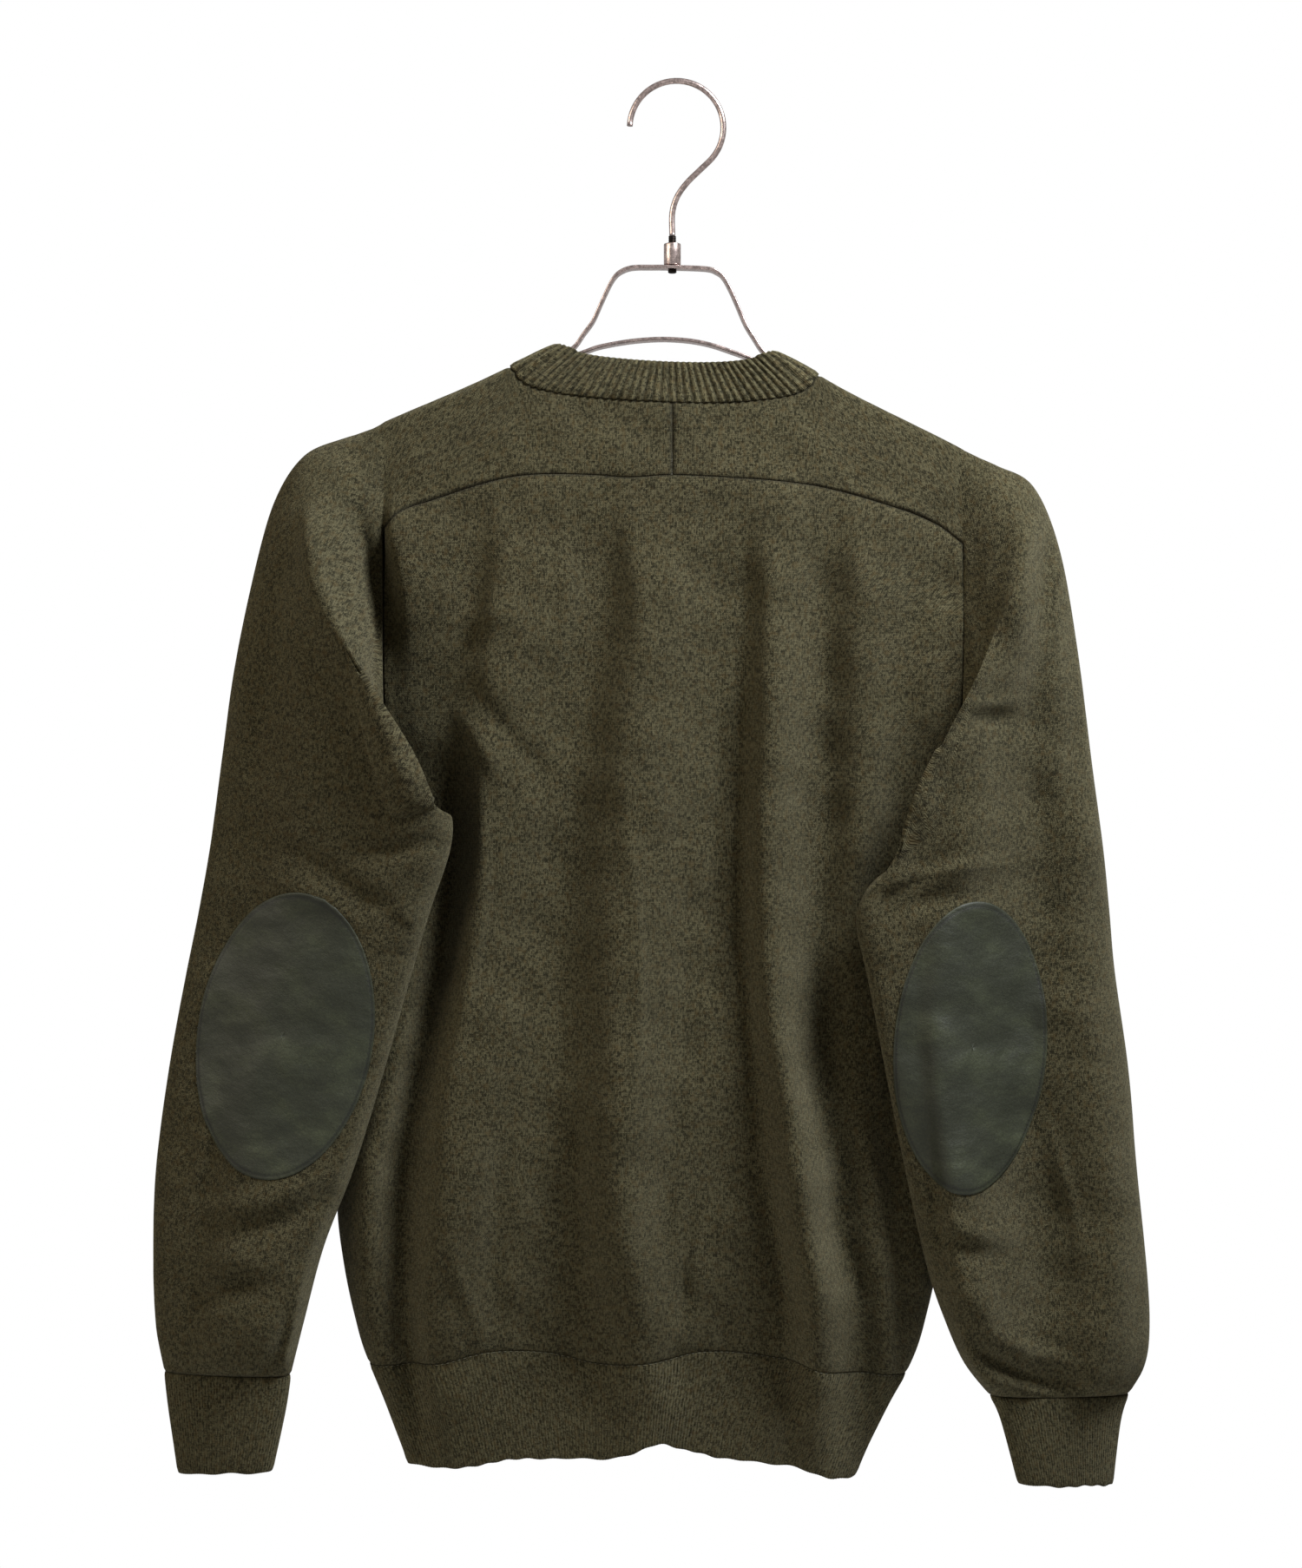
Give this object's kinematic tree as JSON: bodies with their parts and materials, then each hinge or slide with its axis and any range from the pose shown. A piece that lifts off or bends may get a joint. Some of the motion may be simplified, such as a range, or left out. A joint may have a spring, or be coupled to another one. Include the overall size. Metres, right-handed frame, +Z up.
{
  "type": "wool sweater with elbow patches on a hanger",
  "caption": "Fine-knit olive wool pullover hanging back outwards on a flat metal hanger, with a ribbed neck, cuffs and hem, saddle shoulders and oval leather elbow patches.",
  "frame": {"origin": "top of the inside of the hanger's hook, where it rests on its rail", "axes": "+Z up, +X to the right as seen from behind the garment, +Y towards the garment's front"},
  "size_m": [0.58, 0.1136, 0.8214],
  "materials": {
    "knit": "fine melange wool knit",
    "rib": "ribbed melange wool knit",
    "patch": "soft satin leather",
    "hanger_metal": "worn bright chrome"
  },
  "bodies": {
    "root": {"back_panel": "knit", "front_panel": "knit", "sleeve_left": "knit", "sleeve_right": "knit", "neck_rib": "rib", "hem_rib": "rib", "cuff_left": "rib", "cuff_right": "rib", "elbow_patch_left": "patch", "elbow_patch_right": "patch", "hanger_frame": "hanger_metal", "hanger_arch": "hanger_metal", "hanger_ferrule": "hanger_metal", "hanger_hook": "hanger_metal"}
  },
  "joints": []
}
